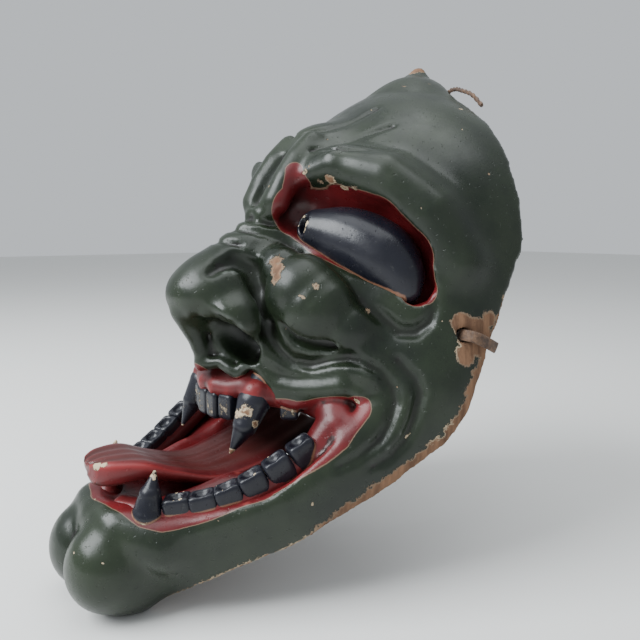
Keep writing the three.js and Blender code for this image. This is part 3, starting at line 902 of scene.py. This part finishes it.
def lacquer_colour(shader, dark, pale):
    cloud = shader.span(shader.noise(28, 5, 0.6), 0.3, 0.72)
    streak = shader.span(shader.noise(60, 3, 0.5, stretch=(1, 1, 0.25)), 0.45, 0.75, 0, 0.5)
    return shader.mix(streak, shader.mix(cloud, dark, pale), pale)


def lacquer_finish(shader, colour, wear, roughness):
    """Colour with worn places under a hand-polished lacquer film."""
    smear = shader.span(shader.noise(45, 6, 0.65), 0.3, 0.75, roughness - 0.06, roughness + 0.16)
    ripple = shader.bump(shader.noise(90, 3, 0.5), 0.0004, 0.3)
    grain = shader.bump(shader.noise(900, 2, 0.5), 0.00008, 0.5, under=ripple)
    pits = shader.span(shader.noise(520, 1, 0.5), 0.68, 0.74)
    pitted = shader.bump(shader.math("MULTIPLY", pits, -1.0), 0.00025, 0.6, under=grain)
    shader.set(
        Base_Color=colour,
        Roughness=shader.blend(wear, smear, 0.85),
        Normal=shader.bump(shader.math("MULTIPLY", wear, -1.0), 0.0006, 1.0, under=pitted),
        Specular_IOR_Level=0.32,
        Coat_Weight=shader.blend(wear, 0.1, 0.0),
        Coat_Roughness=0.22,
    )


def wood_colour(shader, dark, pale):
    grain = shader.noise(220, 6, 0.7, stretch=(1, 1, 0.12))
    return shader.mix(shader.span(grain, 0.35, 0.7), dark, pale)


def paint_shell():
    shader = Shader("lacquered_wood")
    ragged = shader.math("SUBTRACT", shader.noise(230, 6, 0.75), 0.5)
    fine = shader.math("SUBTRACT", shader.noise(700, 4, 0.7), 0.5)
    bend = shader.number("bend")
    green = lacquer_colour(shader, GREEN_DARK, GREEN_PALE)
    red = lacquer_colour(shader, RED_DARK, RED_PALE)
    edge = shader.math("ADD", shader.number("red"), shader.math("MULTIPLY", ragged, 0.6))
    is_red = shader.span(edge, 0.16, -0.16)
    colour = shader.mix(is_red, green, red)
    from_line = shader.math("ABSOLUTE", shader.math("SUBTRACT", edge, 0.2))
    colour = shader.mix(shader.span(from_line, 0.26, 0.06, 0, 0.42), colour, (0.36, 0.2, 0.14))
    rubbed = shader.span(shader.math("ADD", bend, shader.math("MULTIPLY", fine, 0.12)), 0.14, 0.34, 0, 0.4)
    colour = shader.mix(rubbed, colour, shader.mix(is_red, (0.12, 0.135, 0.12), (0.27, 0.06, 0.05)))
    # Painted shade: grooves and creases of the shell are darkened nearly to black.
    painted_groove_shade = shader.span(bend, -0.04, -0.22, 0, 0.8)
    colour = shader.mix(painted_groove_shade, colour, (0.009, 0.008, 0.007))
    # Painted shade: the colour inside the nostrils is taken nearly to black.
    sunk = shader.span(shader.number("sunk"), 0.3, -2.5, 0, 0.95)
    colour = shader.mix(sunk, colour, (0.003, 0.003, 0.003))
    chip = shader.math("ADD", shader.number("chip"), shader.math("MULTIPLY", ragged, 7.5))
    rim = shader.math("ADD", shader.number("rim"), shader.math("MULTIPLY", ragged, 11.0))
    height = shader.coordinate("Z")
    low_rim = shader.math("ADD", rim, shader.span(height, 0.095, 0.15, -4.8, 2.2))
    low_rim = shader.math("ADD", low_rim, shader.span(height, 0.055, 0.03, 0, 4.5))
    speck = shader.span(shader.noise(160, 2, 0.5), 0.255, 0.235)
    bared = shader.math("MAXIMUM", shader.span(chip, 0.35, -0.1), shader.span(low_rim, 1.5, 0.9))
    bared = shader.math("MAXIMUM", bared, shader.math("MULTIPLY", speck, 0.9))
    core = shader.math("MAXIMUM", shader.span(chip, -0.2, -1.1), shader.span(low_rim, 0.9, -0.2))
    pale = shader.span(shader.noise(30, 2, 0.5), 0.42, 0.58, 0.25, 0.9)
    ground = shader.mix(pale, BACK_WOOD, GESSO)
    under = shader.mix(core, ground, wood_colour(shader, BACK_WOOD, BARE_WOOD))
    colour = shader.mix(bared, colour, under)
    inside = shader.span(shader.number("depth"), 1.6, 2.4)
    back = shader.math("MULTIPLY", inside, shader.span(edge, -1.0, 0.5))
    colour = shader.mix(back, colour, wood_colour(shader, (0.035, 0.02, 0.012), (0.10, 0.055, 0.03)))
    lacquer_finish(shader, colour, shader.math("MAXIMUM", bared, shader.math("MULTIPLY", back, 0.7)), 0.3)
    shader.use_on([shell])


def paint_black():
    shader = Shader("black_lacquer")
    colour = lacquer_colour(shader, BLACK_DARK, BLACK_PALE)
    bend = shader.number("bend")
    fine = shader.math("SUBTRACT", shader.noise(420, 5, 0.75), 0.5)
    root = shader.math("ADD", shader.number("depth"), shader.math("MULTIPLY", fine, 0.8))
    colour = shader.mix(shader.span(root, -0.7, -0.2, 0, 0.75), colour, (0.27, 0.13, 0.075))
    ragged = shader.math("SUBTRACT", shader.noise(330, 6, 0.75), 0.5)
    worn = shader.span(shader.math("ADD", bend, shader.math("MULTIPLY", fine, 1.1)), 0.8, 0.9)
    joint = shader.math("ADD", shader.number("joint"), shader.math("MULTIPLY", ragged, 0.5))
    worn = shader.math("MAXIMUM", worn, shader.span(joint, 1.0, 1.06, 0, 0.8))
    chip = shader.math("ADD", shader.number("chip"), shader.math("MULTIPLY", ragged, 6.0))
    core = shader.span(chip, -0.3, -1.0)
    under = shader.mix(core, GESSO, wood_colour(shader, BACK_WOOD, BARE_WOOD))
    worn = shader.math("MAXIMUM", worn, shader.span(chip, 0.2, -0.1))
    colour = shader.mix(worn, colour, under)
    dusty = shader.span(shader.noise(260, 5, 0.7), 0.6, 0.8, 0, 0.35)
    colour = shader.mix(dusty, colour, DUST)
    lacquer_finish(shader, colour, worn, 0.3)
    shader.use_on(black_pieces)


def paint_red():
    shader = Shader("red_lacquer")
    colour = lacquer_colour(shader, RED_DARK, RED_PALE)
    bend = shader.number("bend")
    fine = shader.math("SUBTRACT", shader.noise(380, 5, 0.75), 0.5)
    # Painted shade: folds and grooves of the gums and tongue are darkened.
    colour = shader.mix(shader.span(bend, 0.03, -0.12, 0, 0.8), colour, (0.05, 0.012, 0.01))
    # Painted highlight: ridges of the gums and tongue are brightened in the same red.
    colour = shader.mix(shader.span(bend, 0.05, 0.2, 0, 0.55), colour, (0.3, 0.032, 0.032))
    # Painted shade: the gums and tongue are darker where they come near the carved walls of the mouth.
    painted_wall_shade = shader.span(shader.number("depth"), -11.0, -2.0, 0, 0.35)
    colour = shader.mix(painted_wall_shade, colour, (0.02, 0.006, 0.006))
    # Painted shade: the gums and tongue darken nearly to black towards the back of the mouth.
    painted_throat_shade = shader.span(shader.coordinate("Y"), -0.016, 0.0, 0, 0.9)
    colour = shader.mix(painted_throat_shade, colour, (0.006, 0.004, 0.004))
    dull = shader.math("MULTIPLY", shader.span(shader.number("middle"), 0.12, 0.35), 0.75)
    brown = shader.mix(shader.noise(70, 5, 0.65), (0.035, 0.009, 0.008), (0.085, 0.024, 0.021))
    colour = shader.mix(dull, colour, brown)
    chip = shader.math("ADD", shader.number("chip"), shader.math("MULTIPLY", fine, 5.0))
    worn = shader.span(chip, 0.2, -0.1)
    colour = shader.mix(worn, colour, GESSO)
    lacquer_finish(shader, colour, worn, 0.38)
    shader.use_on(red_pieces)


def paint_leather():
    shader = Shader("old_leather")
    tone = shader.span(shader.noise(300, 5, 0.65), 0.3, 0.7)
    fibre = shader.noise(1800, 3, 0.6, stretch=(1, 1, 0.3))
    colour = shader.mix(tone, (0.035, 0.017, 0.009), (0.14, 0.075, 0.04))
    shader.set(
        Base_Color=colour,
        Roughness=shader.span(fibre, 0.3, 0.7, 0.6, 0.85),
        Normal=shader.bump(fibre, 0.0003, 0.8),
        Sheen_Weight=0.15,
    )
    shader.use_on(leather_pieces)


paint_shell()
paint_black()
paint_red()
paint_leather()


# ---------------------------------------------------------------- floor and light
def make_floor():
    reach = 4.0
    corners = [(-reach, -reach, 0), (reach, -reach, 0), (reach, reach, 0), (-reach, reach, 0)]
    mesh = bpy.data.meshes.new("floor")
    mesh.from_pydata(corners, [], [(0, 1, 2, 3)])
    floor = bpy.data.objects.new("floor", mesh)
    bpy.context.scene.collection.objects.link(floor)
    shader = Shader("pale_floor")
    shader.set(Base_Color=(0.74, 0.74, 0.72), Roughness=0.7)
    shader.use_on([floor])


def make_lamp(name, place, size, power, tint, target=(0, 0, 0.12)):
    data = bpy.data.lights.new(name, "AREA")
    data.shape = "RECTANGLE"
    data.size, data.size_y = size
    data.energy = power
    data.color = tint
    lamp = bpy.data.objects.new(name, data)
    lamp.location = place
    lamp.rotation_euler = (Vector(target) - Vector(place)).to_track_quat("-Z", "Y").to_euler()
    bpy.context.scene.collection.objects.link(lamp)


def make_world():
    world = bpy.data.worlds.new("world")
    world.use_nodes = True
    background = world.node_tree.nodes["Background"]
    background.inputs["Color"].default_value = (0.80, 0.84, 0.88, 1)
    background.inputs["Strength"].default_value = 0.8
    bpy.context.scene.world = world


make_floor()
make_world()
make_lamp("window", (-0.2, -0.8, 0.85), (0.8, 0.7), 25, (0.93, 0.97, 1.0))
make_lamp("overhead", (0.1, 0.0, 1.3), (1.0, 1.0), 9, (0.95, 0.98, 1.0))
